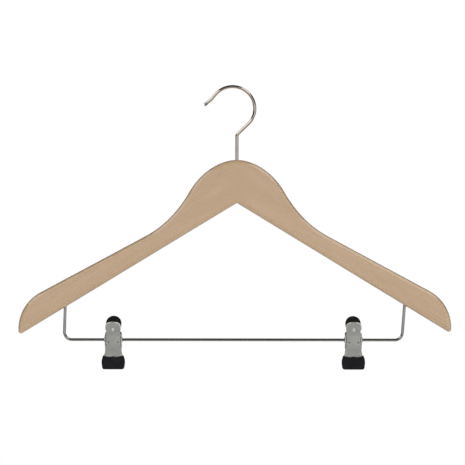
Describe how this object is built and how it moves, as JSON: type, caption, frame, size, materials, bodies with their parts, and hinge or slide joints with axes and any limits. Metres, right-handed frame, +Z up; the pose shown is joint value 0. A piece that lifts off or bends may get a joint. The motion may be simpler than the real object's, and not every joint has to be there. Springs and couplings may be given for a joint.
{
  "type": "shirt hanger",
  "caption": "Flat wooden clothes hanger with a swivelling wire hook, a wire trouser bar under sloping arms and sprung clips that slide along the bar.",
  "frame": {"origin": "point inside the hook's crown, on the swivel axis, that rests on the clothes rail", "axes": "+X to the right along the hanger's length as seen from the front, +Y towards the back, +Z up along the swivel axis"},
  "size_m": [0.44, 0.0253, 0.2894],
  "materials": {
    "beech_wood": "thin clear satin lacquer on pale beech",
    "hook_steel": "bright nickel plate on steel wire",
    "bar_steel": "nickel plate on steel wire",
    "jaw_steel": "satin nickel plate on stamped sheet",
    "spring_steel": "plain drawn spring wire",
    "boot_rubber": "matt black moulded soft vinyl"
  },
  "bodies": {
    "hook": {"hook": "hook_steel", "hook_washer": "hook_steel"},
    "hanger": {"wooden_body": "beech_wood", "hook_bush": "hook_steel", "trouser_bar": "bar_steel"},
    "left_slider": {"left_pivot_tube": "jaw_steel"},
    "left_rear": {"left_rear_jaw": "jaw_steel", "left_rear_boot": "boot_rubber", "left_spring": "spring_steel"},
    "left_front": {"left_front_jaw": "jaw_steel", "left_front_boot": "boot_rubber"},
    "right_slider": {"right_pivot_tube": "jaw_steel"},
    "right_rear": {"right_rear_jaw": "jaw_steel", "right_rear_boot": "boot_rubber", "right_spring": "spring_steel"},
    "right_front": {"right_front_jaw": "jaw_steel", "right_front_boot": "boot_rubber"}
  },
  "joints": [
    {"name": "hook_swivel", "type": "hinge", "parent": "hook", "child": "hanger", "pos_m": [0, 0, -0.0723], "axis": [0, 0, 1], "continuous": true},
    {"name": "left_clip_slide", "type": "slide", "parent": "hanger", "child": "left_slider", "axis": [1, 0, 0], "range_m": [-0.032, 0.11]},
    {"name": "left_clip_swing", "type": "hinge", "parent": "left_slider", "child": "left_rear", "pos_m": [-0.12555, 0, -0.2555], "axis": [1, 0, 0], "continuous": true},
    {"name": "left_clip_open", "type": "hinge", "parent": "left_rear", "child": "left_front", "pos_m": [-0.12555, 0, -0.2555], "axis": [-1, 0, 0], "range_deg": [0, 45], "stiffness_Nm_per_rad": 0.1, "springref_deg": -57.3, "deforming": ["left_spring"]},
    {"name": "right_clip_slide", "type": "slide", "parent": "hanger", "child": "right_slider", "axis": [1, 0, 0], "range_m": [-0.104, 0.032]},
    {"name": "right_clip_swing", "type": "hinge", "parent": "right_slider", "child": "right_rear", "pos_m": [0.1188, 0, -0.2555], "axis": [1, 0, 0], "continuous": true},
    {"name": "right_clip_open", "type": "hinge", "parent": "right_rear", "child": "right_front", "pos_m": [0.1188, 0, -0.2555], "axis": [-1, 0, 0], "range_deg": [0, 45], "stiffness_Nm_per_rad": 0.1, "springref_deg": -57.3, "deforming": ["right_spring"]}
  ]
}
